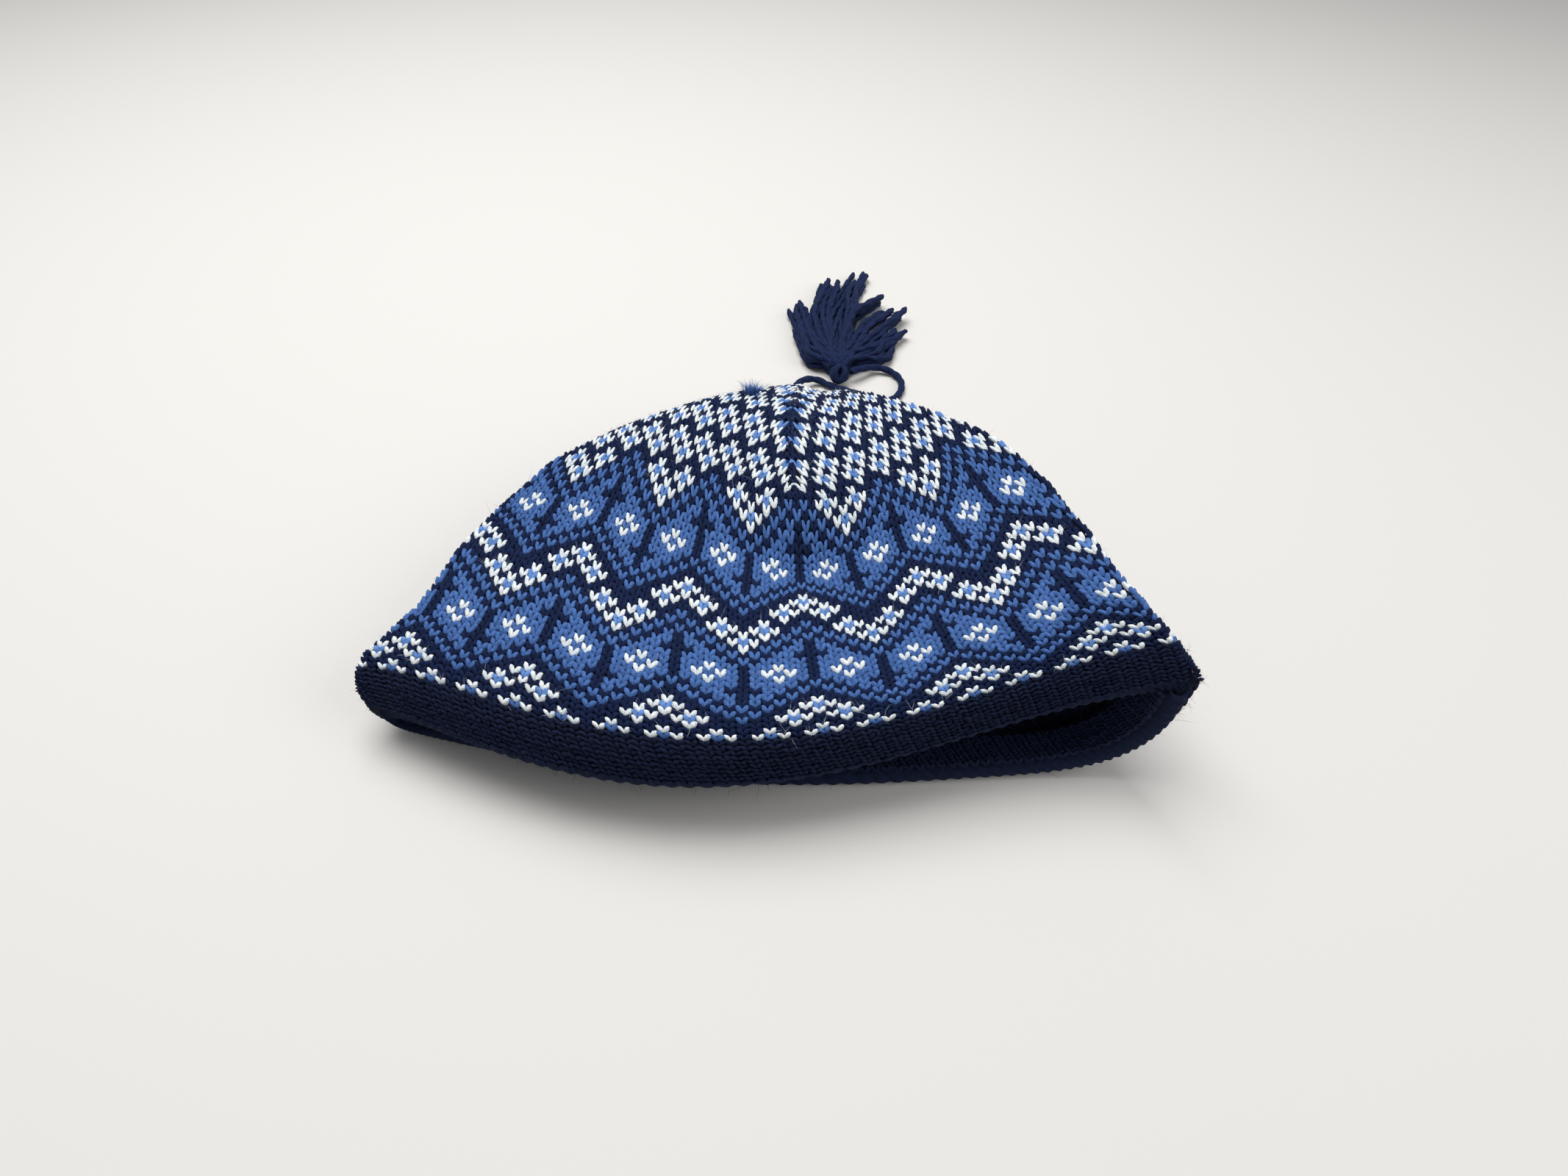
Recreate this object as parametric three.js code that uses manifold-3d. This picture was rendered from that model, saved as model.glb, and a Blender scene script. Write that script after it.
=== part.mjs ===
// Knitted colourwork beanie with a cord and tassel, lying on its back wall with the opening
// towards -Y. Millimetres, +Z up; the surface it lies on is z = 0, and the origin is the centre
// of the knit's footprint.
import * as THREE from 'three';
import { mergeVertices } from 'three/addons/utils/BufferGeometryUtils.js';
import Module from 'manifold-3d';

// Driving sizes
const brimWidth = 225; // across the opening as the hat lies, which the shares below follow
const layDepth = 201; // hem to closed crown along Y
const layHeight = 36; // front wall over the middle of the hat; the right fold stands higher
const wall = 3; // one layer of knit with its floats
const facingTop = 0.14; // share of the way up that the hem is turned up inside the brim
const facingWall = 2.4;
const crownEnd = 0.955; // share of the way up where the hollow closes
const cordDiameter = 3.2;
const knotDiameter = 9.4;
const tasselLength = 105; // knot to the longest lock
const seatGap = 0.3; // clearance between touching pieces

const around = 56; // divisions round a loop of the knit

// One row per loop of the lying hat. Widths are shares of brimWidth, Y places of layDepth and
// heights of layHeight: the loop's half width and middle, its front, left, right and back places
// along Y, how the front wall leans to one side, its crest, and how high the two folds stand.
const loops = [
  { up: 0.00, half: 0.510, middle: -0.055, front: 0.000, left: 0.120, right: 0.092, back: 0.055,
    lean: 0.085, crest: 0.49, leftFold: 0.40, rightFold: 1.20 },
  { up: 0.14, half: 0.505, middle: -0.076, front: 0.028, left: 0.163, right: 0.140, back: 0.125,
    lean: 0.040, crest: 0.85, leftFold: 0.64, rightFold: 1.35 },
  { up: 0.30, half: 0.460, middle: -0.068, front: 0.137, left: 0.261, right: 0.234, back: 0.225,
    lean: 0.010, crest: 0.84, leftFold: 0.76, rightFold: 1.38 },
  { up: 0.45, half: 0.428, middle: -0.064, front: 0.277, left: 0.414, right: 0.402, back: 0.360,
    lean: -0.018, crest: 0.75, leftFold: 0.77, rightFold: 1.25 },
  { up: 0.57, half: 0.390, middle: -0.060, front: 0.400, left: 0.512, right: 0.550, back: 0.475,
    lean: -0.047, crest: 0.74, leftFold: 0.80, rightFold: 1.14 },
  { up: 0.65, half: 0.343, middle: -0.060, front: 0.500, left: 0.598, right: 0.658, back: 0.575,
    lean: -0.070, crest: 0.86, leftFold: 0.84, rightFold: 1.06 },
  { up: 0.74, half: 0.268, middle: -0.064, front: 0.618, left: 0.700, right: 0.770, back: 0.700,
    lean: -0.084, crest: 0.94, leftFold: 0.78, rightFold: 0.90 },
  { up: 0.82, half: 0.197, middle: -0.058, front: 0.740, left: 0.789, right: 0.857, back: 0.800,
    lean: -0.066, crest: 0.93, leftFold: 0.61, rightFold: 0.72 },
  { up: 0.91, half: 0.113, middle: -0.038, front: 0.870, left: 0.893, right: 0.938, back: 0.905,
    lean: -0.037, crest: 0.70, leftFold: 0.39, rightFold: 0.49 },
  { up: 1.00, half: 0.024, middle: -0.017, front: 1.000, left: 1.000, right: 1.000, back: 1.000,
    lean: 0.000, crest: 0.35, leftFold: 0.18, rightFold: 0.16 },
];

// The dent where the front wall sags just below the crown
const dent = { x: -0.01 * brimWidth, y: 0.39 * layDepth, radius: 15, depth: 6 };

// Value of one column of a table at a height up the hat, on a smooth curve through its rows
function between(table, up, column) {
  const last = table.length - 1;
  let i = 0;
  while (i < last - 1 && up > table[i + 1].up) i++;
  const slope = (j) => {
    const before = table[Math.max(j - 1, 0)];
    const after = table[Math.min(j + 1, last)];
    return (after[column] - before[column]) / (after.up - before.up);
  };
  const [a, b] = [table[i], table[i + 1]];
  const step = b.up - a.up;
  const t = (up - a.up) / step;
  return (
    (2 * t ** 3 - 3 * t ** 2 + 1) * a[column] +
    (t ** 3 - 2 * t ** 2 + t) * step * slope(i) +
    (3 * t ** 2 - 2 * t ** 3) * b[column] +
    (t ** 3 - t ** 2) * step * slope(i + 1)
  );
}

// A point of the knit's outer face: angle runs from the right fold over the front wall to the left
// fold and back under the hat
function outerPoint(up, angle) {
  const at = (column) => between(loops, up, column);
  const [cos, sin] = [Math.cos(angle), Math.sin(angle)];
  const rise = Math.abs(sin);
  const side = (1 + cos) / 2; // 0 at the left fold, 1 at the right fold
  const mix = (left, right) => left * (1 - side) + right * side;

  const x = (at('middle') + at('half') * cos) * brimWidth;
  const foldY = mix(at('left'), at('right')) * layDepth;
  const foldZ = mix(at('leftFold'), at('rightFold')) * layHeight;
  const toMiddle = (at(sin < 0 ? 'back' : 'front') * layDepth - foldY) * rise ** 3.5;
  if (sin < 0) return new THREE.Vector3(x, foldY + toMiddle, foldZ * Math.max(0, 1 - rise / 0.8) ** 2);
  const y = foldY + toMiddle + at('lean') * layDepth * cos * rise ** 2;
  const away = ((x - dent.x) ** 2 + (y - dent.y) ** 2) / dent.radius ** 2;
  const z = foldZ + (at('crest') * layHeight - foldZ) * rise ** 1.9;
  return new THREE.Vector3(x, y, z - dent.depth * Math.exp(-away) * rise);
}

// A point inset mm inside the outer face. The front wall goes straight in along its normal, and
// the two folds and the back wall go in without closing up their tight bends.
function knitPoint(up, angle, inset) {
  const outer = outerPoint(up, angle);
  if (inset === 0) return outer.toArray();
  const [cos, rise] = [Math.cos(angle), Math.abs(Math.sin(angle))];
  const foldZ = outerPoint(up, cos > 0 ? 0 : Math.PI).z;
  const foldIn = -Math.min(1.5 * inset, (foldZ * inset) / 12);
  const point = new THREE.Vector3(outer.x - 1.4 * inset * cos, outer.y, outer.z + foldIn);
  if (Math.sin(angle) < 0) {
    point.z = inset + (outer.z / Math.max(foldZ, 1)) * (foldZ + foldIn - inset);
    return point.toArray();
  }
  const alongHat = outerPoint(Math.min(up + 0.01, 1), angle).sub(outerPoint(Math.max(up - 0.01, 0), angle));
  const alongLoop = outerPoint(up, angle + 0.02).sub(outerPoint(up, angle - 0.02));
  const straightIn = outer.sub(alongLoop.cross(alongHat).setLength(-inset));
  const t = Math.min(1, rise / 0.5);
  return point.lerp(straightIn, t * t * (3 - 2 * t)).toArray();
}

// Closed solid from rings of points with equal counts. A ring list that ends where it began
// makes a hollow wall; otherwise the two end rings are capped.
function solidFromRings(rings, ringIsClosed) {
  const count = rings[0].length;
  const positions = rings.flat(2);
  const index = [];
  const last = ringIsClosed ? rings.length : rings.length - 1;
  for (let i = 0; i < last; i++) {
    const [lower, upper] = [i * count, ((i + 1) % rings.length) * count];
    for (let j = 0; j < count; j++) {
      const k = (j + 1) % count;
      index.push(lower + j, lower + k, upper + k, lower + j, upper + k, upper + j);
    }
  }
  if (!ringIsClosed) {
    for (const [ring, flip] of [[0, true], [rings.length - 1, false]]) {
      const middle = [0, 1, 2].map((axis) => rings[ring].reduce((sum, p) => sum + p[axis], 0) / count);
      const centre = positions.length / 3;
      positions.push(...middle);
      for (let j = 0; j < count; j++) {
        const [a, b] = [ring * count + j, ring * count + ((j + 1) % count)];
        index.push(centre, ...(flip ? [b, a] : [a, b]));
      }
    }
  }
  const geometry = new THREE.BufferGeometry();
  geometry.setAttribute('position', new THREE.Float32BufferAttribute(positions, 3));
  geometry.setIndex(index);
  return geometry;
}

const knitRing = (up, inset) =>
  Array.from({ length: around }, (_, i) => knitPoint(up, (2 * Math.PI * i) / around, inset));
const span = (from, to, steps) =>
  Array.from({ length: steps + 1 }, (_, i) => from + ((to - from) * i) / steps);

const group = new THREE.Group();
function add(name, geometry, color, roughness) {
  const material = new THREE.MeshStandardMaterial({ color, roughness, metalness: 0 });
  const mesh = new THREE.Mesh(geometry, material);
  mesh.name = name;
  group.add(mesh);
  return mesh;
}

// Knit body: the outer face from the closed crown down to the hem and the inner face back up
const outerRings = span(1, 0, 26).map((up) => knitRing(up, 0));
const innerUps = span(0, crownEnd, 22);
const innerRings = innerUps.map((up) => knitRing(up, wall));
const body = add('knit_body', solidFromRings([...outerRings, ...innerRings], false), '#26335c', 0.95);

// Hem facing: the plain hem turned up inside the brim, a second layer behind the first
const facingUps = [0.012, ...innerUps.filter((up) => up > 0.012 && up < facingTop)];
const facingOuter = wall + 2 * seatGap;
const facingRings = [
  ...facingUps.map((up) => knitRing(up, facingOuter)).reverse(),
  ...facingUps.map((up) => knitRing(up, facingOuter + facingWall)),
];
add('hem_facing', solidFromRings(facingRings, true), '#1f2747', 0.95);

// Cord: leaves the closed crown, makes one loop on the surface and ends at the knot
const crownTip = new THREE.Vector3(...knitPoint(1, Math.PI / 2, 0)).add(new THREE.Vector3(-2, 0, -5));
const knotCentre = new THREE.Vector3(crownTip.x + 20.2, crownTip.y + 20.2, knotDiameter / 2 + 1.2);
const low = cordDiameter / 2 + 0.1; // height of the cord's middle where it lies
const cordRoute = [
  // across and along from the crown's tip, and the height of the cord's middle
  { across: 0, along: seatGap, height: crownTip.z },
  { across: 0.6, along: 8, height: 7 },
  { across: 5, along: 17, height: 4.6 },
  { across: 10.5, along: 20, height: 2.6 },
  { across: 15.5, along: 17.5, height: low },
  { across: 20.5, along: 14.6, height: low },
  { across: 26, along: 12, height: low },
  { across: 32, along: 8.6, height: low },
  { across: 39, along: 5.4, height: low },
  { across: 45, along: 8.4, height: low },
  { across: 48.4, along: 16, height: low },
  { across: 48.2, along: 24, height: low },
  { across: 44, along: 29.6, height: low + 0.4 },
  { across: 37, along: 30.6, height: 3.4 },
  { across: 31, along: 27, height: 4.8 },
  { across: 25.6, along: 22.8, height: 5.8 },
];
const cordPath = new THREE.CatmullRomCurve3(
  cordRoute.map(({ across, along, height }) =>
    new THREE.Vector3(crownTip.x + across, crownTip.y + along, height)),
);
const cordRound = new THREE.Shape();
for (let i = 0; i < 8; i++) {
  const turn = (2 * Math.PI * (i + 0.5)) / 8;
  const [u, v] = [Math.cos(turn) * cordDiameter / 2, Math.sin(turn) * cordDiameter / 2];
  if (i === 0) cordRound.moveTo(u, v);
  else cordRound.lineTo(u, v);
}
const cordSteps = Math.min(80, Math.round(cordPath.getLength() / (2 * cordDiameter)));
const cordTube = new THREE.ExtrudeGeometry(cordRound, { steps: cordSteps, extrudePath: cordPath });
add('tassel_cord', cordTube, '#1b2140', 0.9);

// Knot that gathers the tassel's yarns
const knot = new THREE.SphereGeometry(knotDiameter / 2, 16, 12);
knot.translate(...knotCentre);
add('tassel_knot', knot, '#1b2140', 0.9);

// Tassel: flat locks of yarn that fan out from a head just past the knot. Places are shares of
// tasselLength from the knot, across to +X and along +Y; width is the lock's widest.
const locks = [
  { bendAcross: -0.12, bendAlong: 0.25, tipAcross: -0.20, tipAlong: 0.65, width: 8 },
  { bendAcross: -0.10, bendAlong: 0.30, tipAcross: -0.13, tipAlong: 0.51, width: 6 },
  { bendAcross: -0.12, bendAlong: 0.50, tipAcross: -0.06, tipAlong: 0.89, width: 3 },
  { bendAcross: -0.05, bendAlong: 0.55, tipAcross: 0.00, tipAlong: 0.94, width: 5 },
  { bendAcross: 0.00, bendAlong: 0.58, tipAcross: 0.13, tipAlong: 1.00, width: 6 },
  { bendAcross: 0.06, bendAlong: 0.55, tipAcross: 0.10, tipAlong: 0.87, width: 5 },
  { bendAcross: 0.08, bendAlong: 0.52, tipAcross: 0.24, tipAlong: 0.74, width: 6 },
  { bendAcross: 0.13, bendAlong: 0.45, tipAcross: 0.27, tipAlong: 0.63, width: 5 },
  { bendAcross: 0.18, bendAlong: 0.38, tipAcross: 0.31, tipAlong: 0.60, width: 5 },
  { bendAcross: 0.20, bendAlong: 0.28, tipAcross: 0.30, tipAlong: 0.42, width: 3 },
  { bendAcross: 0.19, bendAlong: 0.18, tipAcross: 0.26, tipAlong: 0.39, width: 5 },
  { bendAcross: -0.11, bendAlong: 0.13, tipAcross: -0.17, tipAlong: 0.42, width: 5 },
];
const headRadii = new THREE.Vector3(6.2, 7, 4.6);
const headCentre = new THREE.Vector3(knotCentre.x, knotCentre.y, headRadii.z)
  .add(new THREE.Vector3(0, knotDiameter / 2 + headRadii.y + seatGap, 0));

function lockGeometry({ bendAcross, bendAlong, tipAcross, tipAlong, width }) {
  const place = (across, along, z) =>
    new THREE.Vector3(knotCentre.x + across * tasselLength, knotCentre.y + along * tasselLength, z);
  const thickness = Math.min(4, width * 0.8);
  const path = new THREE.QuadraticBezierCurve3(
    headCentre, place(bendAcross, bendAlong, thickness / 2 + 1.2), place(tipAcross, tipAlong, 1.2));
  const rings = span(0, 1, 9).map((t) => {
    const centre = path.getPoint(t);
    const along = path.getTangent(t).setZ(0).normalize();
    const fullness = Math.min(1, 0.5 + t * 2) * Math.sqrt(1 - 0.85 * t ** 3);
    const [halfWidth, halfHeight] = [(width / 2) * fullness, (thickness / 2) * fullness];
    return Array.from({ length: 8 }, (_, i) => {
      const turn = (2 * Math.PI * (i + 0.5)) / 8;
      const acrossLock = Math.cos(turn) * halfWidth;
      return [
        centre.x + along.y * acrossLock,
        centre.y - along.x * acrossLock,
        Math.max(0.05, centre.z + Math.sin(turn) * halfHeight),
      ];
    });
  });
  return solidFromRings(rings.reverse(), false);
}

const wasm = await Module();
wasm.setup();
function toManifold(geometry) {
  const plain = geometry.clone();
  plain.deleteAttribute('normal');
  plain.deleteAttribute('uv');
  const merged = mergeVertices(plain, 1e-4);
  return new wasm.Manifold(new wasm.Mesh({
    numProp: 3,
    vertProperties: new Float32Array(merged.attributes.position.array),
    triVerts: new Uint32Array(merged.index.array),
  }));
}
const head = new THREE.SphereGeometry(1, 18, 12).scale(...headRadii).translate(...headCentre);
const lockSolids = locks.map((lock) => toManifold(lockGeometry(lock)));
const fused = wasm.Manifold.union([toManifold(head), ...lockSolids]).getMesh();
const tassel = new THREE.BufferGeometry();
tassel.setAttribute('position', new THREE.Float32BufferAttribute(fused.vertProperties, 3));
tassel.setIndex([...fused.triVerts]);
add('tassel', tassel, '#1b2140', 0.95);

// Origin under the middle of the knit
body.geometry.computeBoundingBox();
const middle = body.geometry.boundingBox.getCenter(new THREE.Vector3());
for (const mesh of group.children) {
  mesh.geometry.translate(-middle.x, -middle.y, 0);
  mesh.geometry.computeVertexNormals();
}

export default group;
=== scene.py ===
"""Knitted colourwork beanie with a cord and tassel, lying on its back wall on a pale floor."""

import bpy
import numpy as np
from mathutils import Matrix, Vector


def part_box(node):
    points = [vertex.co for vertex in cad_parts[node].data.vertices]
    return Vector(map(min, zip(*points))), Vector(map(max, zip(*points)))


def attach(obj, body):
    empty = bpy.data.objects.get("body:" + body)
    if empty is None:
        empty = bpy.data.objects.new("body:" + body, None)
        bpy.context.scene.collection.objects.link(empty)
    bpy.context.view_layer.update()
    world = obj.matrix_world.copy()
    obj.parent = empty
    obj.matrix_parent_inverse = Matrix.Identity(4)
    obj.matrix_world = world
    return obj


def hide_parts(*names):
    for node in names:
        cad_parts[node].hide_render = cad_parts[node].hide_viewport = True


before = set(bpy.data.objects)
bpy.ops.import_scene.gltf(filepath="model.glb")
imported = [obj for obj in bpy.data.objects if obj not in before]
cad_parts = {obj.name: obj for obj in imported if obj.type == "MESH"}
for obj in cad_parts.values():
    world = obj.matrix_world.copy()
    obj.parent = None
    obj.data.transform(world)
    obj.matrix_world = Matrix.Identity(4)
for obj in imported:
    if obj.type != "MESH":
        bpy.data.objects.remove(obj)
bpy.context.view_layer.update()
bpy.ops.object.select_all(action="DESELECT")

# Camera: a phone's main lens in front of the opening, 225 mm above the surface and looking down on
# the front wall of the hat.
camera_place = (0.0062, -0.2274, 0.225)  # metres, in the row frame
camera_pitch = 45.8  # degrees below the horizon
camera_roll = 1.5  # degrees
camera_lens, camera_sensor = 20.32, 36  # mm
nearest_seen, farthest_seen = 0.01, 20  # metres

bpy.ops.object.camera_add(location=camera_place)
camera = bpy.context.object
pitched = Matrix.Rotation(np.radians(90 - camera_pitch), 4, "X")
rolled = Matrix.Rotation(np.radians(camera_roll), 4, "Z")
camera.matrix_world = Matrix.Translation(camera_place) @ (pitched @ rolled)
camera.data.lens = camera_lens
camera.data.sensor_width = camera_sensor
camera.data.clip_start, camera.data.clip_end = nearest_seen, farthest_seen
bpy.context.scene.camera = camera

# Tassel cord: two plies of navy wool twisted into a limp cord 3.2 mm thick. It leaves the drawn-up
# crown, makes one loop on the surface and ends in the knot over the tassel.
MM = 0.001
cord_width = 3.2 * MM
cord_lay_length = 6 * MM  # one full turn of the plies
ply_height, ply_groove, ply_fullness = 0.70, 0.30, 0.7  # shares of the radius, and the power of the curve
cord_sides, cord_rings, stretch_points = 14, 240, 12  # the last between two points of a path
knot_from_crown = 20.2  # mm across and as much along, from where the cord leaves the closed crown
crown_height = 7.6  # mm, of the cord where it leaves the crown
tassel_navy = "#122044"

fibre_bundle = 0.45 * MM  # a real fibre, 0.03 mm, is too fine to show, so several count as one
loose_fibre_bundle = 0.6 * MM  # the same, where the yarn has begun to untwist
fibre_relief = 0.35 * MM
dark_fibres, light_fibres = 0.62, 1.35  # times the yarn's own colour
wool_finish = {
    "Roughness": 0.92, "IOR": 1.54, "Specular IOR Level": 0.2, "Sheen Weight": 0.06, "Sheen Roughness": 0.5,
}


def linear(hex_colour):
    """sRGB hex to linear RGBA."""
    channels = [int(hex_colour[i:i + 2], 16) / 255 for i in (1, 3, 5)]
    return [c / 12.92 if c <= 0.04045 else ((c + 0.055) / 1.055) ** 2.4 for c in channels] + [1]


def add_node(material, kind, settings=(), **links):
    """Adds a node with its input values and attributes, and links named inputs from other sockets."""
    node = material.node_tree.nodes.new(kind)
    for name, value in dict(settings).items():
        if name in node.inputs:
            node.inputs[name].default_value = value
        else:
            setattr(node, name, value)
    for name, source in links.items():
        material.node_tree.links.new(source, node.inputs[name.replace("_", " ")])
    return node


def wool(name, hex_colour, fibre=fibre_bundle):
    """Sheep's wool, dyed, carded and spun: matt, because its scaly fibres scatter the light, with a faint
    sheen of its own colour from loose fibre, and mottled where darker and lighter fibres were carded in."""
    material = bpy.data.materials.new(name)
    material.use_nodes = True
    shader = material.node_tree.nodes["Principled BSDF"]
    for socket, value in wool_finish.items():
        shader.inputs[socket].default_value = value
    shader.inputs["Sheen Tint"].default_value = linear(hex_colour)
    place = add_node(material, "ShaderNodeTexCoord").outputs["Object"]
    carding = {"Scale": 1 / (3 * fibre), "Detail": 7.0, "Roughness": 0.72}
    mottle = add_node(material, "ShaderNodeTexNoise", carding, Vector=place)
    dyed = np.array(linear(hex_colour))[:3]
    shades = add_node(material, "ShaderNodeValToRGB", Fac=mottle.outputs["Fac"])
    dark, light = shades.color_ramp.elements
    dark.position, light.position = 0.34, 0.66  # the range that the noise seldom leaves
    dark.color = list(dyed * dark_fibres) + [1]
    light.color = list(np.minimum(dyed * light_fibres, 1)) + [1]
    material.node_tree.links.new(shades.outputs["Color"], shader.inputs["Base Color"])
    fibres = add_node(material, "ShaderNodeTexNoise", {"Scale": 1 / fibre, "Detail": 3.0}, Vector=place)
    relief = {"Strength": 0.6, "Distance": fibre_relief}
    bump = add_node(material, "ShaderNodeBump", relief, Height=fibres.outputs["Fac"])
    material.node_tree.links.new(bump.outputs["Normal"], shader.inputs["Normal"])
    return material


def mesh_piece(name, points, faces, materials, material_index=None):
    """A new smooth-shaded object at the origin from points in metres and equal-length faces."""
    mesh = bpy.data.meshes.new(name)
    faces = np.asarray(faces, dtype=np.int32)
    count, corners = faces.shape
    mesh.vertices.add(len(points))
    mesh.vertices.foreach_set("co", np.asarray(points, dtype=np.float32).ravel())
    mesh.loops.add(faces.size)
    mesh.loops.foreach_set("vertex_index", faces.ravel())
    mesh.polygons.add(count)
    mesh.polygons.foreach_set("loop_start", np.arange(count, dtype=np.int32) * corners)
    mesh.polygons.foreach_set("loop_total", np.full(count, corners, dtype=np.int32))
    for material in materials:
        mesh.materials.append(material)
    if material_index is not None:
        mesh.polygons.foreach_set("material_index", np.asarray(material_index, dtype=np.int32))
    mesh.polygons.foreach_set("use_smooth", np.full(count, True))
    mesh.update(calc_edges=True)
    mesh.validate()
    piece = bpy.data.objects.new(name, mesh)
    bpy.context.collection.objects.link(piece)
    return piece


def smooth_path(points, count):
    """Points evenly spaced along a smooth curve through the given ones, and the curve's length."""
    p = np.asarray(points, dtype=float)
    ends = np.concatenate([[2 * p[0] - p[1]], p, [2 * p[-1] - p[-2]]])
    t = np.linspace(0, 1, stretch_points, endpoint=False)[:, None]
    stretches = [
        0.5 * (2 * b + (c - a) * t + (2 * a - 5 * b + 4 * c - d) * t ** 2
               + (3 * b - a - 3 * c + d) * t ** 3)
        for a, b, c, d in zip(ends, ends[1:], ends[2:], ends[3:])
    ]
    fine = np.concatenate(stretches + [p[-1:]])
    along = np.concatenate([[0], np.cumsum(np.linalg.norm(np.diff(fine, axis=0), axis=1))])
    want = np.linspace(0, along[-1], count)
    return np.stack([np.interp(want, along, fine[:, k]) for k in range(3)], axis=1), along[-1]


def swept(path, sides, outline):
    """Points and faces of a strand along a path, closed at both ends. outline(share, angles) gives its
    radius at a share of the way along."""
    tangent = np.gradient(path, axis=0)
    tangent /= np.linalg.norm(tangent, axis=1)[:, None]
    normal = np.cross(tangent[0], [0.31, 0.22, 0.93])  # a direction that no strand starts in
    angles = np.linspace(0, 2 * np.pi, sides, endpoint=False)
    cos, sin = np.cos(angles)[:, None], np.sin(angles)[:, None]
    rings = []
    for i, (point, direction) in enumerate(zip(path, tangent)):
        normal = normal - direction * normal.dot(direction)
        normal /= np.linalg.norm(normal)
        binormal = np.cross(direction, normal)
        radius = outline(i / (len(path) - 1), angles)
        rings.append(point + radius[:, None] * (cos * normal + sin * binormal))
    points = np.concatenate(rings + [path[:1], path[-1:]])
    ring, j = np.arange(len(path) - 1)[:, None] * sides, np.arange(sides)
    k = (j + 1) % sides
    left, right = (ring + j).ravel(), (ring + k).ravel()
    next_left, next_right = left + sides, right + sides
    first, last, top = len(points) - 2, len(points) - 1, (len(path) - 1) * sides
    faces = np.concatenate([
        np.stack([left, right, next_right], 1), np.stack([left, next_right, next_left], 1),
        np.stack([np.full(sides, first), k, j], 1),
        np.stack([np.full(sides, last), top + j, top + k], 1),
    ])
    return points, faces


knot_low, knot_high = (np.array(corner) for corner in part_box("tassel_knot"))
knot_middle, knot_radius = (knot_low + knot_high) / 2, (knot_high - knot_low)[0] / 2
crown_x, crown_y = knot_middle[:2] / MM - knot_from_crown
cord_route = [
    # across and along from the crown's tip, and height, mm
    (0, 0.3, crown_height), (0.6, 8, 7), (5, 17, 4.6), (10.5, 20, 2.6), (15.5, 17.5, 1.8), (20.5, 14.6, 1.8),
    (26, 12, 1.8), (32, 8.6, 1.8), (39, 5.4, 1.8), (45, 8.4, 1.8), (48.4, 16, 1.8), (48.2, 24, 1.8),
    (44, 29.6, 2.2), (37, 30.6, 3.4), (31, 27, 4.8), (25.6, 22.8, 5.8),
]
cord_line, cord_length = smooth_path([(crown_x + x, crown_y + y, z) for x, y, z in cord_route], cord_rings)
cord_turns = cord_length * MM / cord_lay_length


def two_plies(share, angles):
    """The cord's radius: two round plies side by side, which turn as they go along it."""
    swell = np.abs(np.cos(angles - np.pi * cord_turns * share)) ** ply_fullness
    return cord_width / 2 * (ply_height + ply_groove * swell)


points, faces = swept(cord_line * MM, cord_sides, two_plies)
cord_wool = wool("twisted_wool_cord", tassel_navy)  # tightly twisted, so its round plies catch the light
tassel_cord = mesh_piece("twisted_cord", points, faces, [cord_wool])
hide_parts("tassel_cord")
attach(tassel_cord, "root")

# Knot: the cord is tied off in an overhand knot and drawn tight, so its turns are thinner than the
# cord and lie over each other at all angles.
knot_strand = cord_width * 0.42  # radius
knot_ply_height, knot_ply_groove = 0.78, 0.22  # shares of the radius
knot_twist = 14  # radians that the plies turn by on the way round one loop
knot_rings = 42
knot_loops = [
    # tilt and heading in degrees, share of the knot's radius
    (25, 0, 1.0), (70, 60, 1.0), (-50, 115, 1.0), (40, 20, 0.42),
]


def tight_plies(share, angles):
    """The radius of the cord where the knot draws it tight."""
    return knot_strand * (knot_ply_height + knot_ply_groove * np.abs(np.cos(angles - knot_twist * share)))


def joined(parts):
    """Points and faces of several meshes as those of one."""
    starts = np.cumsum([0] + [len(points) for points, _ in parts[:-1]])
    faces = [faces + start for (_, faces), start in zip(parts, starts)]
    return np.concatenate([points for points, _ in parts]), np.concatenate(faces)


loop_angles = np.linspace(0, 2 * np.pi, knot_rings)
flat_circle = np.stack([np.cos(loop_angles), np.sin(loop_angles), 0 * loop_angles], 1)
flat_loop = flat_circle * (knot_radius - knot_strand)
knot_parts = []
for tilt, heading, pull in knot_loops:
    spin = Matrix.Rotation(np.radians(heading), 3, "Z") @ Matrix.Rotation(np.radians(tilt), 3, "X")
    knot_parts.append(swept((flat_loop * pull) @ np.array(spin).T + knot_middle, cord_sides, tight_plies))
tassel_knot = mesh_piece("overhand_knot", *joined(knot_parts), [cord_wool])
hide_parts("tassel_knot")
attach(tassel_knot, "root")

# Tassel: 96 lengths of the same navy wool hang from the knot in twelve flat locks. They are cut by
# hand to uneven ends, where each yarn has begun to untwist.
chance = np.random.default_rng(7)
yarn_radius = 1.45  # mm, of a yarn that has begun to untwist
yarn_lay_length = 9  # mm
yarn_ply_height, yarn_ply_groove = 0.8, 0.2  # shares of the radius
yarn_swell, cut_share, cut_slope = 0.2, 0.75, 9  # fuller at the end, but cut to three quarters at the tip
yarn_sides, yarn_rings, yarns_in_lock = 7, 30, 8
yarn_spread, tip_spread, lock_height = 0.7, 1.1, 7  # of the lock's width, times that at the tips, and mm
shortest_cut = 0.86  # of the longest yarn in a lock
neck_half_width, neck_along, neck_depth = 3.4, 4.2, 2  # mm, where the yarns leave the knot
neck_low, neck_high = 1.6, 7.6  # mm
shoulder_across, shoulder_along = 0.25, 0.2  # of the way to the bend, where a yarn lies down
shoulder_ahead, shoulder_up = 3, 0.6  # mm
shoulder_scatter, middle_scatter, tip_scatter = 2, 0.9, 0.8  # mm
bend_rest, tip_rest, tip_sink = 0.4, 0.2, 0.7  # mm over the floor, twice, and share of a yarn's lift
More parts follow.
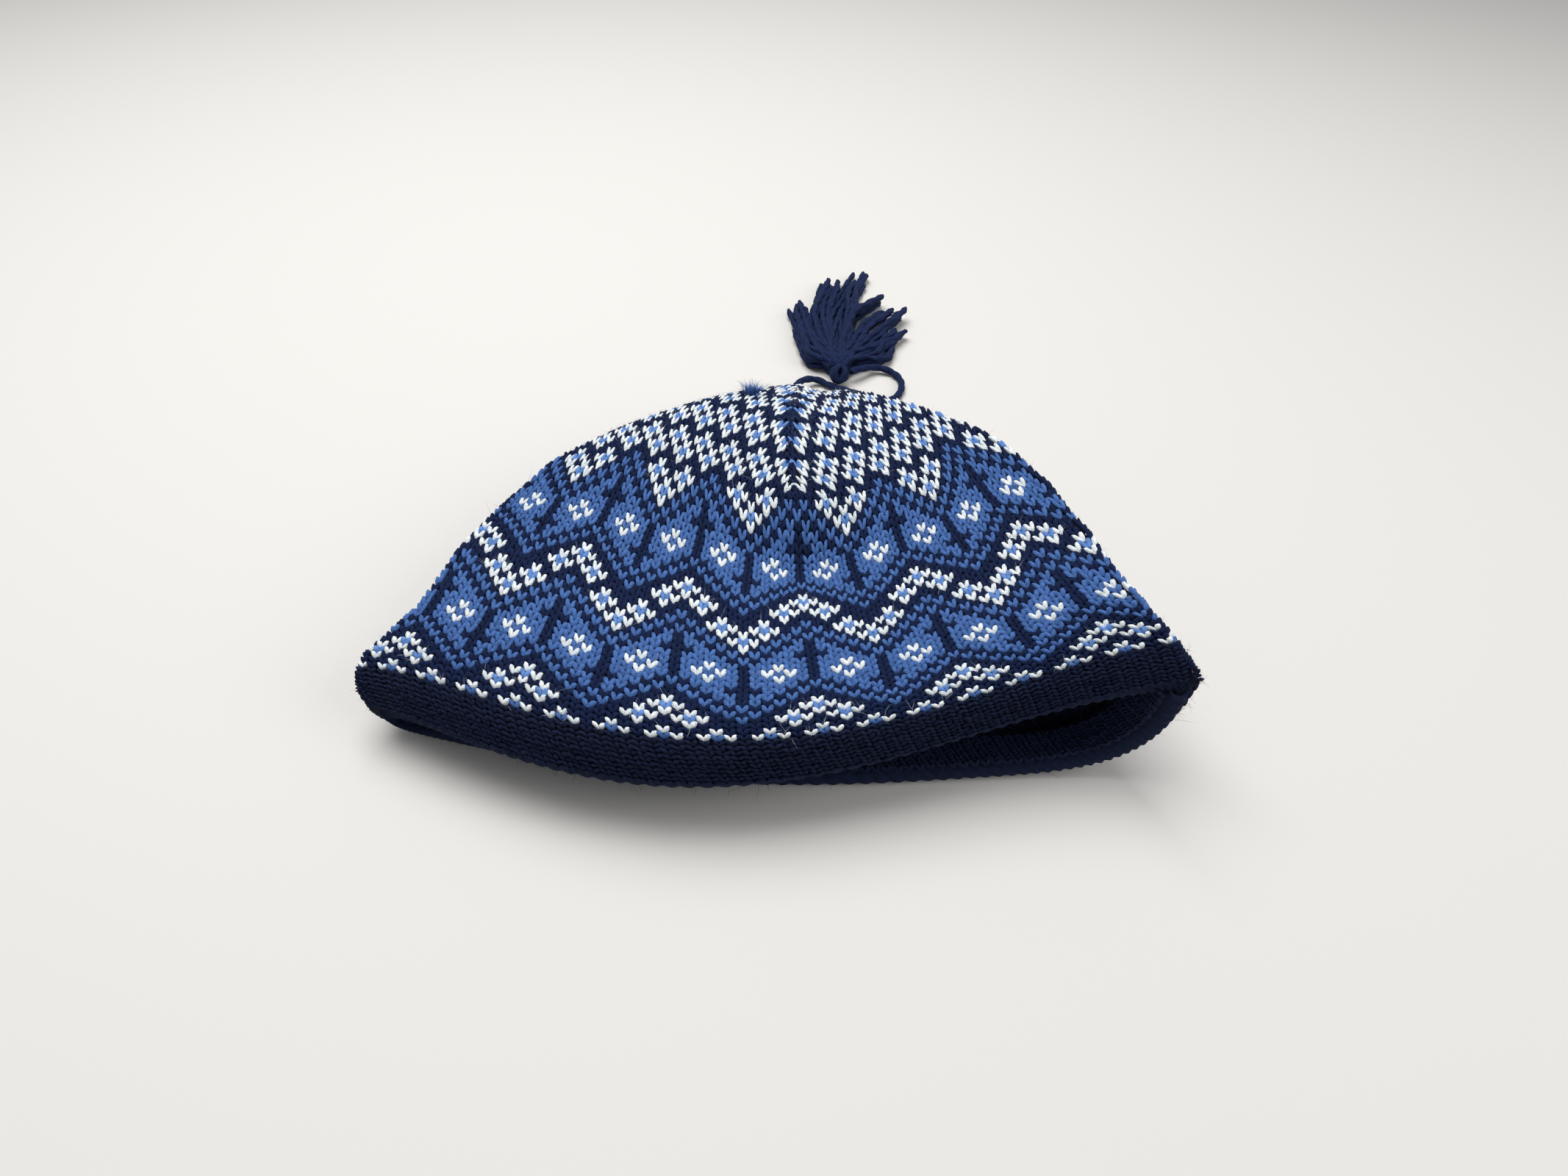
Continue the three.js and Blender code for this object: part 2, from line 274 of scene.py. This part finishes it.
floor_gap = 0.1  # mm between loose wool and the floor
knot_x, knot_y = knot_middle[:2] / MM
tassel_locks = [
    # bend across, bend along, tip across, tip along from the knot, lock width, mm
    (-13, 26, -21, 68, 7), (-10, 32, -14, 54, 5), (-12, 53, -6, 93, 3), (-5, 58, 0, 99, 4),
    (0, 61, 14, 105, 5), (6, 58, 10, 91, 4), (8, 55, 25, 78, 5), (14, 47, 28, 66, 4),
    (19, 40, 33, 63, 4), (21, 29, 32, 44, 3), (20, 19, 27, 41, 4), (-12, 14, -18, 44, 4),
]


def untwisting(length):
    """The radius of a two-ply yarn of a length in mm, a little fuller towards its tapered cut end."""
    def radius(share, angles):
        turned = 2 * angles - 2 * np.pi * length / yarn_lay_length * share
        plies = yarn_ply_height + yarn_ply_groove * np.cos(turned)
        cut = min(1, cut_share + cut_slope * (1 - share))
        return yarn_radius * MM * plies * (1 + yarn_swell * share) * cut
    return radius


yarns = []
for bend_x, bend_y, tip_x, tip_y, width in tassel_locks:
    for strand in range(yarns_in_lock):
        offset = chance.uniform(-yarn_spread, yarn_spread) * width
        shorten = chance.uniform(shortest_cut, 1.0)
        lift = chance.uniform(0, lock_height) * (1 - 0.5 * abs(offset) / width)  # locks are highest inside
        start = np.array([
            knot_x + chance.uniform(-neck_half_width, neck_half_width),
            knot_y + neck_along + chance.uniform(0, neck_depth), chance.uniform(neck_low, neck_high),
        ])
        shoulder = start + [
            shoulder_across * bend_x + chance.uniform(-shoulder_scatter, shoulder_scatter),
            shoulder_along * bend_y + shoulder_ahead, shoulder_up,
        ]
        bend = np.array([knot_x + bend_x + offset, knot_y + bend_y * shorten, yarn_radius + bend_rest + lift])
        tip = np.array([
            knot_x + tip_x * shorten + offset * tip_spread + chance.normal(0, tip_scatter),
            knot_y + tip_y * shorten, yarn_radius + tip_rest + lift * tip_sink,
        ])
        middle = (bend + tip) / 2 + [chance.normal(0, middle_scatter), 0, 0]
        line, length = smooth_path([start, shoulder, bend, middle, tip], yarn_rings)
        points, faces = swept(line * MM, yarn_sides, untwisting(length))
        points[:, 2] = np.maximum(points[:, 2], floor_gap * MM)
        yarns.append((points, faces))
# the same wool with its fibres let go, so its mottle is coarser and the yarns look softer
tassel_wool = wool("loose_tassel_wool", tassel_navy, loose_fibre_bundle)
tassel = mesh_piece("tassel_yarns", *joined(yarns), [tassel_wool])
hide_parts("tassel")
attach(tassel, "root")

# Knit wall: a tube of stranded stocking stitch, about 3 mm thick with its floats, that narrows over
# four centred decreases and is drawn shut. The hat lies on its back wall, which presses it flat.
brim_width, lay_depth, lay_height = 225.0, 201.0, 36.0  # mm
knit_thickness = 3.0
hem_rows, crown_rows = 10, 60.5  # rows below and above the start of the pattern
loop_table = np.array([
    # up, half width, middle | front, left, right, back, lean | crest, left fold, right fold
    (0.00, 0.510, -0.055, 0.000, 0.120, 0.092, 0.055, 0.085, 0.49, 0.40, 1.20),
    (0.14, 0.505, -0.076, 0.028, 0.163, 0.140, 0.125, 0.040, 0.85, 0.64, 1.35),
    (0.30, 0.460, -0.068, 0.137, 0.261, 0.234, 0.225, 0.010, 0.84, 0.76, 1.38),
    (0.45, 0.428, -0.064, 0.277, 0.414, 0.402, 0.360, -0.018, 0.75, 0.77, 1.25),
    (0.57, 0.390, -0.060, 0.400, 0.512, 0.550, 0.475, -0.047, 0.74, 0.80, 1.14),
    (0.65, 0.343, -0.060, 0.500, 0.598, 0.658, 0.575, -0.070, 0.86, 0.84, 1.06),
    (0.74, 0.268, -0.064, 0.618, 0.700, 0.770, 0.700, -0.084, 0.94, 0.78, 0.90),
    (0.82, 0.197, -0.058, 0.740, 0.789, 0.857, 0.800, -0.066, 0.93, 0.61, 0.72),
    (0.91, 0.113, -0.038, 0.870, 0.893, 0.938, 0.905, -0.037, 0.70, 0.39, 0.49),
    (1.00, 0.024, -0.017, 1.000, 1.000, 1.000, 1.000, 0.000, 0.35, 0.18, 0.16),
])
edge_power, crest_power = 3.5, 1.9  # how full a loop is between its folds, along the hat and upwards
lying_share = 0.8  # of the back wall that lies flat on the surface
dent_x, dent_y, dent_radius, dent_depth = -0.01 * brim_width, 0.39 * lay_depth, 15.0, 6.0
fold_inset, lowest_full_fold, side_inset = 1.5, 12, 1.4  # times the inset, mm, and times the inset
up_step, angle_step = 0.01, 0.02  # steps that the slope of the face is measured over
fold_share = 0.5  # of the rise, over which the way of insetting changes from folds to front wall


def table_at(up):
    """The loop table's columns at heights up the hat, on smooth curves through its rows."""
    stations, values = loop_table[:, 0], loop_table[:, 1:]
    slopes = np.empty_like(values)
    slopes[1:-1] = (values[2:] - values[:-2]) / (stations[2:] - stations[:-2])[:, None]
    slopes[0] = (values[1] - values[0]) / (stations[1] - stations[0])
    slopes[-1] = (values[-1] - values[-2]) / (stations[-1] - stations[-2])
    i = np.clip(np.searchsorted(stations, up, side="right") - 1, 0, len(stations) - 2)
    step = (stations[i + 1] - stations[i])[:, None]
    t = (up - stations[i])[:, None] / step
    return ((2 * t ** 3 - 3 * t ** 2 + 1) * values[i] + (t ** 3 - 2 * t ** 2 + t) * step * slopes[i]
            + (3 * t ** 2 - 2 * t ** 3) * values[i + 1] + (t ** 3 - t ** 2) * step * slopes[i + 1])


def outer_loops(up, angle):
    """Points (mm) of whole loops of the knit's outer face, rows by angles by xyz, and the folds' height."""
    half, middle, front, left, right, back, lean, crest, left_fold, right_fold = (
        column[:, None] for column in table_at(np.asarray(up)).T)
    cos, sin = np.cos(angle)[None], np.sin(angle)[None]
    rise, side = np.abs(sin), (1 + cos) / 2
    x = (middle + half * cos) * brim_width
    fold_y = (left * (1 - side) + right * side) * lay_depth
    fold_z = (left_fold * (1 - side) + right_fold * side) * lay_height
    over = sin >= 0  # the front wall, which lies over the back wall
    to_middle = (np.where(over, front, back) * lay_depth - fold_y) * rise ** edge_power
    over_y = fold_y + to_middle + lean * lay_depth * cos * rise ** 2
    away = ((x - dent_x) ** 2 + (over_y - dent_y) ** 2) / dent_radius ** 2
    over_z = fold_z + (crest * lay_height - fold_z) * rise ** crest_power - dent_depth * np.exp(-away) * rise
    under_z = fold_z * np.maximum(0, 1 - rise / lying_share) ** 2
    points = [x + 0 * over_y, np.where(over, over_y, fold_y + to_middle), np.where(over, over_z, under_z)]
    return np.stack(points, axis=-1), np.where(cos > 0, right_fold, left_fold) * lay_height


def knit_loops(up, angle, inset=0.0):
    """The same loops inset mm inside the outer face, without closing up the tight bends at the folds."""
    up, angle = np.asarray(up, dtype=float), np.asarray(angle, dtype=float)
    outer, fold_z = outer_loops(up, angle)
    if inset == 0:
        return outer
    cos, sin = np.cos(angle)[None], np.sin(angle)[None]
    fold_in = -np.minimum(fold_inset * inset, fold_z * inset / lowest_full_fold)
    point = outer.copy()
    point[..., 0] -= side_inset * inset * cos
    under_z = inset + outer[..., 2] / np.maximum(fold_z, 1) * (fold_z + fold_in - inset)
    point[..., 2] = np.where(sin < 0, under_z, outer[..., 2] + fold_in)
    higher, _ = outer_loops(np.minimum(up + up_step, 1), angle)
    lower, _ = outer_loops(np.maximum(up - up_step, 0), angle)
    along_loop = outer_loops(up, angle + angle_step)[0] - outer_loops(up, angle - angle_step)[0]
    inwards = np.cross(along_loop, higher - lower)
    inwards /= np.maximum(np.linalg.norm(inwards, axis=-1), 1e-9)[..., None]
    t = np.clip(sin / fold_share, 0, 1)[..., None]
    blend = t * t * (3 - 2 * t)
    return point * (1 - blend) + (outer + inset * inwards) * blend


# the same loops as the solid's, so that the middles of both boxes are one place in the row frame
knit_low, knit_high = (np.array(corner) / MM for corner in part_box("knit_body"))
whole = knit_loops(np.linspace(0, 1, 27), np.linspace(0, 2 * np.pi, 56, endpoint=False))
to_row_frame = (knit_low + knit_high) / 2 - (whole.min((0, 1)) + whole.max((0, 1))) / 2
to_row_frame[2] = 0


def ringed(rings, closed):
    """Faces that join rings of points; closed joins the last ring to the first."""
    count, around = rings.shape[:2]
    i = np.arange(count if closed else count - 1)[:, None]
    j = np.arange(around)
    k = (j + 1) % around
    low, high = i * around, ((i + 1) % count) * around
    return np.stack([(low + j).ravel(), (low + k).ravel(), (high + k).ravel(), (high + j).ravel()], 1)


def close_and_face_out(piece):
    """Closes open ends and turns the faces outwards."""
    bpy.context.view_layer.objects.active = piece
    piece.select_set(True)
    bpy.ops.object.mode_set(mode="EDIT")
    bpy.ops.mesh.select_all(action="SELECT")
    bpy.ops.mesh.fill_holes(sides=0)
    bpy.ops.mesh.normals_make_consistent(inside=False)
    bpy.ops.object.mode_set(mode="OBJECT")
    piece.select_set(False)


wall_sides, outside_rows, inside_rows = 240, 70, 60
wall_angles = np.linspace(0, 2 * np.pi, wall_sides, endpoint=False)
stitch_bed = 0.4  # mm that the stitches' plump arms stand proud of the wall behind them
brim_up, hollow_up = 0.004, 0.95  # shares of the way up where the wall starts and its hollow ends
outside = knit_loops(np.linspace(1, brim_up, outside_rows), wall_angles, stitch_bed)
inside = knit_loops(np.linspace(brim_up, hollow_up, inside_rows), wall_angles, knit_thickness)
wall_rings = np.concatenate([outside, inside]) + to_row_frame
# strands carried along behind the stitches: navy painted almost black, as painted shade between the stitches
# and over the hat's inside wall
floats_painted_shade_wool = wool("navy_floats_painted_dark_as_shade", "#080c20")
knit_wall = mesh_piece("knit_wall", wall_rings.reshape(-1, 3) * MM, ringed(wall_rings, False), [floats_painted_shade_wool])
close_and_face_out(knit_wall)
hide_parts("knit_body")
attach(knit_wall, "root")

# Hem facing: the plain hem turned up inside the brim, a second layer of the same knit. This is its
# backing, on which the hem's own stitches are laid further down.
facing_foot, facing_top = 0.012, 0.135  # shares of the way up
facing_rows = 9
facing_thickness, facing_gap, facing_bed = 2.4, 0.6, 0.6  # mm
facing_outside = knit_thickness + facing_gap  # mm inside the hat's outer face, as is the next
facing_inside = facing_outside + facing_thickness - facing_bed
facing_ups = np.linspace(facing_foot, facing_top, facing_rows)
facing_rings = np.concatenate([
    knit_loops(facing_ups[::-1], wall_angles, facing_outside),
    knit_loops(facing_ups, wall_angles, facing_inside),
]) + to_row_frame
facing_points, facing_faces = facing_rings.reshape(-1, 3) * MM, ringed(facing_rings, True)
# the backing is in the floats' wool, navy painted almost black as shade inside the brim
hem_facing = mesh_piece("hem_facing_backing", facing_points, facing_faces, [floats_painted_shade_wool])
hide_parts("hem_facing")
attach(hem_facing, "root")

# Stitches: every stitch is a V of two plump arms of wool in navy, mid blue or white. The pattern is
# a traditional one of zigzags, small flowers and chevrons, charted here by counting its stitches.
first_lozenge_row, lozenge_repeat = 3, 18
lozenge_chart = [
    # one column of the repeat from its middle outwards, read upwards from the lozenge's first row
    "NNNNNNBNNNNNNNBNB",
    "NNNNNBNBBBBNBBNBN",
    "NNNNBNBBWBBBBNBNN",
    "NNNBNBBWBWBBNBNNN",
    "NNBNBBBBWBBNBNNNN",
    "NBNBBNBBBBNBNNNNN",
    "BNBNNNNNNNBNNNNNN",
]
pattern_repeat = 12  # stitches
edging = "BWNW"  # the pattern's first row, by columns
flower_steps = [(6, 0), (4, 2), (2, 5), (0, 7)]  # column from the middle, row above the band's foot
flower_bands = [16, 34, 39, 44, 49, 54, 59]
flower_middles = [(column, foot + row) for foot in flower_bands for column, row in flower_steps]
flower_middles += [(2, 3), (0, 5)]  # the upper half of a band, just above the hem
gores, gore_columns = 4, 36
decrease_start, decreased = 36.5, 17.4  # row of the first decrease, stitches lost each side by the top
front_seam = [
    # row, share of the loop that the front seam stands to the right of the loop's top
    (-10, 0.045), (0, 0.041), (20, 0.029), (36, 0.024), (60, 0.03),
]


def stitch_colour(column, row):
    """The chart's colour for one stitch: navy, mid blue, white or, in the flowers' middles, light blue."""
    if row < 0:
        return "N"
    if row == 0:
        return edging[column % 4]
    if row == 1 and column % 4 == 0:
        return "W"
    half = pattern_repeat // 2
    across = abs((column + half) % pattern_repeat - half)
    if (across, row) in flower_middles:
        return "b"
    if any(abs(across - middle) + abs(row - middle_row) == 1 for middle, middle_row in flower_middles):
        return "W"
    for foot in (first_lozenge_row, first_lozenge_row + lozenge_repeat):
        if 0 <= row - foot < len(lozenge_chart[0]) and lozenge_chart[across][row - foot] != "N":
            return lozenge_chart[across][row - foot]
    return "N"


def decreases(row):
    """Stitches that each side of a gore has lost by a row."""
    return np.clip((row - decrease_start) / (crown_rows - decrease_start), 0, 1) * decreased


grid_columns, rows_apart, loop_points = 1440, 0.5, 721
grid_rows = np.arange(-hem_rows, crown_rows + rows_apart / 2, rows_apart)
grid_ups = (grid_rows + hem_rows) / (crown_rows + hem_rows)
seam_turn = np.interp(grid_rows, *zip(*front_seam))
grid_shares = np.arange(0, grid_columns + 1) / grid_columns


def stitch_grid(inset):
    """The knit's face resampled: rows by even shares of each loop, from the front seam to the right."""
    turn = np.linspace(0, 2 * np.pi, loop_points)
    loops = knit_loops(grid_ups, turn, inset) + to_row_frame
    out = np.empty((len(grid_rows), len(grid_shares), 3))
    for i, loop in enumerate(loops):
        along = np.concatenate([[0], np.cumsum(np.linalg.norm(np.diff(loop, axis=0), axis=1))])
        top = np.interp(np.pi / 2, turn, along)
        want = (top - (grid_shares + seam_turn[i]) * along[-1]) % along[-1]
        for axis in range(3):
            out[i, :, axis] = np.interp(want, along, loop[:, axis])
    return out


def on_grid(grid, share, row):
    """Points of the resampled face at shares of the loop and rows, by linear interpolation."""
    u = (share % 1) * grid_columns
    v = np.clip((row + hem_rows) / rows_apart, 0, len(grid_rows) - 1.001)  # just short of the last row
    i, j = v.astype(int), u.astype(int) % grid_columns
    s, t = (v - i)[:, None], (u - np.floor(u))[:, None]
    return ((1 - s) * ((1 - t) * grid[i, j] + t * grid[i, j + 1])
            + s * ((1 - t) * grid[i + 1, j] + t * grid[i + 1, j + 1]))


def share_of(gore, place, row):
    """Share of the loop at a place counted in stitches from the gore's left seam, before decreases."""
    lost = decreases(row)
    return (gore + np.clip((place - lost) / (gore_columns - 2 * lost), 0, 1)) / gores


# the arm of a stitch, modelled once: a plump leaf-shaped strand of yarn, six-sided
bpy.ops.mesh.primitive_uv_sphere_add(segments=6, ring_count=4, radius=1)
arm = bpy.context.object
bpy.ops.object.mode_set(mode="EDIT")
bpy.ops.mesh.select_all(action="SELECT")
bpy.ops.mesh.quads_convert_to_tris()
bpy.ops.object.mode_set(mode="OBJECT")
arm_points = np.array([v.co[:] for v in arm.data.vertices])
arm_faces = np.array(sorted(p.vertices[:] for p in arm.data.polygons))  # the split leaves them in any order
bpy.data.objects.remove(arm)

arm_thick, arm_long, arm_deep = 0.28, 0.67, 0.90  # of a column, of a row, and mm
arm_foot, arm_tip = 0.05, 0.43  # columns from the stitch's middle
arm_swell, arm_tilt = 0.22, 0.42  # share that it is fatter at the tip, mm that the tip leans out
stitch_scatter = 0.12  # mm, outwards
stitch_floor_gap = 0.05  # mm


def arm_shape(side):
    """One arm in columns across, rows up and mm outwards; side is -1 for left and 1 for right."""
    across, deep, up = arm_points.T
    fat = 1 + arm_swell * up
    x = side * (arm_foot + (arm_tip - arm_foot) * (up + 1) / 2) + across * arm_thick * fat
    return np.stack([x, up * arm_long, deep * arm_deep * fat + arm_tilt * up], axis=1)


vee_points = np.concatenate([arm_shape(-1), arm_shape(1)])
vee_faces = np.concatenate([arm_faces, arm_faces + len(arm_points)])


def knit_stitches(name, grid, stitches, materials, colours, outward, uneven=0.05):
    """Lays a V at each (gore, place, row) of the grid and joins them into one piece. outward is 1 on the
    outside of the hat and -1 inside the brim; uneven is how much the stitches differ in size and lean."""
    gore, place, row = (np.array(column, dtype=float) for column in zip(*stitches))
    share = share_of(gore, place, row)
    middle = on_grid(grid, share, row)
    half_column = 1 / gores / (gore_columns - 2 * decreases(row)) / 2
    across = on_grid(grid, share + half_column, row) - on_grid(grid, share - half_column, row)
    above = on_grid(grid, share_of(gore, place, row + 0.5), row + 0.5)
    up = above - on_grid(grid, share_of(gore, place, row - 0.5), row - 0.5)
    out = np.cross(across, up) * outward
    out /= np.linalg.norm(out, axis=1)[:, None]
    sway = chance.normal(0, uneven, len(row))[:, None]
    across, up = across + up * sway, up - across * sway
    scale = 1 + chance.normal(0, uneven, (len(row), 3))
    middle = middle + out * chance.normal(0, stitch_scatter, len(row))[:, None]
    x, y, z = np.split(vee_points[None] * scale[:, None, :], 3, axis=2)
    points = middle[:, None] + x * across[:, None] + y * up[:, None] + z * out[:, None]
    points[:, :, 2] = np.maximum(points[:, :, 2], stitch_floor_gap)
    faces = (vee_faces[None] + (np.arange(len(row)) * len(vee_points))[:, None, None]).reshape(-1, 3)
    if outward < 0:
        faces = faces[:, ::-1]
    piece = mesh_piece(name, points.reshape(-1, 3) * MM, faces, materials, np.repeat(colours, len(vee_faces)))
    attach(piece, "root")


# two-ply sweater yarns: the dark one swallows the light, the pale ones show the plump round arms
colour_number = {"N": 0, "B": 1, "W": 2, "b": 3}
knit_wools = [
    wool("navy_colourwork_wool", "#0c1c40"),
    wool("mid_blue_colourwork_wool", "#4669a4"),
    wool("white_colourwork_wool", "#e6f6fa"),
    wool("light_blue_flower_wool", "#5f86c4"),
]
outer_grid = stitch_grid(0.0)
for gore, name in ((0, "front_right"), (-1, "front_left"), (1, "back_right"), (-2, "back_left")):
    stitches, colours = [], []
    for row in range(int(crown_rows)):
        lost = float(decreases(row))
        for place in range(gore_columns):
            if lost > 0 and not lost + 0.5 <= place <= gore_columns - lost - 0.5:
                continue
            stitches.append((gore, place, row))
            colours.append(colour_number[stitch_colour(gore * gore_columns + place, row)])
        if lost > 0:  # the centred decrease keeps one stitch standing along the seam
            stitches.append((gore, lost, row))
            colours.append(colour_number["N"])
    knit_stitches("colourwork_" + name, outer_grid, stitches, knit_wools, colours, 1)

# Hem: ten plain navy rows below the pattern, turned up inside the brim on a soft fold and hemmed
# down, so that the same plain rows show again inside the opening.
lowest_hem_row = 0.9  # rows above the brim's edge, which the rounded fold covers
hem_uneven = 0.11  # plain rows are knitted looser than the stranded ones, and look less even
hem_navy = wool("plain_navy_hem_wool", "#101a35")  # one shade duller than the pattern's navy
hem_stations = np.linspace(lowest_hem_row - hem_rows, -1, hem_rows)
hem = [(gore, place, row) for gore in (-2, -1, 0, 1) for place in range(gore_columns) for row in hem_stations]
turned = [(gore, place, row) for gore, place, row in hem if row < -1]
knit_stitches("plain_hem", outer_grid, hem, [hem_navy], np.zeros(len(hem), int), 1, hem_uneven)
facing_grid = stitch_grid(facing_inside)
knit_stitches(
    "turned_up_hem", facing_grid, turned, [hem_navy], np.zeros(len(turned), int), -1, hem_uneven)

fold_radius, fold_depth, fold_up = 2.6, 2.8, 0.011  # mm, mm inside the outer face, share of the way up
fold_ripple = 0.10  # of the radius, one for each column of stitches
fold_sides, fold_spoke_count = 6 * gores * gore_columns, 10
fold_angles = np.linspace(0, 2 * np.pi, fold_sides, endpoint=False)
fold_spokes = np.linspace(0, 2 * np.pi, fold_spoke_count, endpoint=False)
fold_middle, fold_above = knit_loops([fold_up, fold_up + up_step], fold_angles, fold_depth)
fold_face = knit_loops([fold_up], fold_angles, 0.0)[0]
fold_out, fold_down = fold_face - fold_middle, fold_middle - fold_above
for direction in (fold_out, fold_down):
    direction /= np.linalg.norm(direction, axis=1)[:, None]
fold_swell = fold_radius * (1 + fold_ripple * np.cos(fold_angles * gores * gore_columns))[:, None]
fold_rings = np.stack([
    fold_middle + fold_swell * (np.cos(spoke) * fold_out + np.sin(spoke) * fold_down) for spoke in fold_spokes
], axis=1) + to_row_frame
fold_rings[:, :, 2] = np.maximum(fold_rings[:, :, 2], floor_gap)
hem_fold = mesh_piece("hem_fold", fold_rings.reshape(-1, 3) * MM, ringed(fold_rings, True), [hem_navy])
close_and_face_out(hem_fold)
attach(hem_fold, "root")

# Halo: carded wool sheds a haze of single fibres, here a few thousand curved hairs that stand out
# from the stitches, each in the colour of the stitch that it comes from.
hair_radius = 0.04  # mm; drawn thicker than a real fibre, to show
hair_count, hair_length, hair_spread = 12000, 2.4, 0.75
hem_hair_count, hem_hair_length, hem_hair_spread = 2600, 2.0, 1.1
hair_lift, shortest_hair, hair_curl = 0.4, 0.35, 0.5  # mm above the knit, share of the length, spread
beside_step, above_step = 0.002, 0.6  # share of the loop and rows, to tell which way the face looks
bare_crown = 4  # rows at the tip that shed no hairs
hair_points = 7  # two rings of three and the tip
one_hair = [(2, 1, 0)]
for j in range(3):
    k = (j + 1) % 3
    one_hair += [(j, k, 3 + k), (j, 3 + k, 3 + j), (3 + j, 3 + k, 6)]


def hairs(name, gore, place, row, length, radius, spread, colours):
    """Curved hairs that stand out from the knit at the given stitches, joined into one piece."""
    count = len(row)
    share = share_of(gore, place, row)
    root = on_grid(outer_grid, share, row)
    beside = on_grid(outer_grid, share + beside_step, row) - root
    above = on_grid(outer_grid, share, row + above_step) - on_grid(outer_grid, share, row - above_step)
    outwards = np.cross(beside, above)
    for direction in (beside, above, outwards):
        direction /= np.maximum(np.linalg.norm(direction, axis=1), 1e-9)[:, None]
    lean = chance.normal(0, spread, (count, 2))
    heading = outwards + lean[:, :1] * beside + lean[:, 1:] * above
    curl = chance.normal(0, hair_curl, (count, 1)) * beside + chance.normal(0, hair_curl, (count, 1)) * above
    reach = length * chance.uniform(shortest_hair, 1.0, (count, 1))
    rings = []
    for t in (0, 0.5):  # at the root and half way along
        middle = root + hair_lift * outwards + reach * (t * heading + t * t * curl)
        for spoke in (0, 2 * np.pi / 3, 4 * np.pi / 3):
            rings.append(middle + radius * (1 - 0.5 * t) * (np.cos(spoke) * beside + np.sin(spoke) * above))
    tip = root + hair_lift * outwards + reach * (heading + curl)
    points = np.stack(rings + [tip], axis=1)
    points[:, :, 2] = np.maximum(points[:, :, 2], stitch_floor_gap)
    faces = (np.array(one_hair)[None] + hair_points * np.arange(count)[:, None, None]).reshape(-1, 3)
    piece = mesh_piece(name, points.reshape(-1, 3) * MM, faces, knit_wools, np.repeat(colours, len(one_hair)))
    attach(piece, "root")


hair_row = chance.uniform(-hem_rows, crown_rows - bare_crown, hair_count)
hair_gore = chance.choice([-2, -1, -1, -1, 0, 0, 0, 1], hair_count)  # most on the two gores in front
hair_lost = decreases(hair_row)
hair_place = hair_lost + chance.uniform(0, 1, hair_count) * (gore_columns - 2 * hair_lost)
hair_colours = [
    colour_number[stitch_colour(int(round(gore * gore_columns + place)), int(round(row)))]
    for gore, place, row in zip(hair_gore, hair_place, hair_row)
]
hairs("wool_halo", hair_gore, hair_place, hair_row, hair_length, hair_radius, hair_spread, hair_colours)

hem_hair_row = chance.uniform(-hem_rows, -0.5, hem_hair_count)
hem_hair_gore = chance.choice([-1, 0], hem_hair_count)
hem_hair_place = chance.uniform(0, gore_columns, hem_hair_count)
hem_hair_colours = np.full(hem_hair_count, colour_number["N"])
hairs(
    "hem_halo", hem_hair_gore, hem_hair_place, hem_hair_row,
    hem_hair_length, hair_radius, hem_hair_spread, hem_hair_colours,
)

# Tuft: the frayed end of a mid-blue yarn that has worked out of the knit just left of the crown. Its
# plies have come apart into single fibres, which the knit still holds at their other end.
tuft_count, tuft_length, tuft_fibre, tuft_spread = 260, 6.0, 0.11, 0.4  # fibres, mm, mm, and spread
tuft_gore, tuft_place, tuft_row, tuft_width = -1, 19.5, 51.0, 0.35  # width in stitches and in rows
tuft_places = tuft_place + chance.normal(0, tuft_width, tuft_count)
tuft_rows = tuft_row + chance.normal(0, tuft_width, tuft_count)
tuft_colours = np.full(tuft_count, colour_number["B"])
hairs(
    "frayed_blue_end", tuft_gore, tuft_places, tuft_rows,
    tuft_length, tuft_fibre, tuft_spread, tuft_colours,
)

# Stage: a plain pale floor in matt paint, soft light from a large panel overhead and a dim fill from
# the right, which leaves the opening in shadow as in the photo.
floor_size = 6  # metres
bpy.ops.mesh.primitive_plane_add(size=floor_size, location=(0, 0, 0))
floor = bpy.context.object
floor.name = "pale_floor"
paint = bpy.data.materials.new("pale_floor_paint")  # flat wall paint, so no gloss draws the eye
paint.use_nodes = True
paint.node_tree.nodes["Principled BSDF"].inputs["Base Color"].default_value = linear("#d9d6d1")
paint.node_tree.nodes["Principled BSDF"].inputs["Roughness"].default_value = 0.7
floor.data.materials.append(paint)
lit_place = Vector((0, 0.02, 0))  # both lamps point here, at the middle of the hat
for name, place, size, power in (
    # name, place and size in metres, watts
    ("overhead_panel", (-0.25, 0.35, 1.1), 0.9, 15),
    ("side_fill", (1.0, -0.35, 0.75), 0.8, 5),
):
    bpy.ops.object.light_add(type="AREA", location=place)
    lamp = bpy.context.object
    lamp.name = name
    lamp.data.size = size
    lamp.data.energy = power
    lamp.rotation_euler = (lit_place - Vector(place)).to_track_quat("-Z", "Y").to_euler()
world = bpy.data.worlds.new("soft_room")
bpy.context.scene.world = world
world.use_nodes = True
world.node_tree.nodes["Background"].inputs["Color"].default_value = linear("#e8ebf0")
world.node_tree.nodes["Background"].inputs["Strength"].default_value = 0.35
bpy.context.scene.view_settings.view_transform = "Standard"
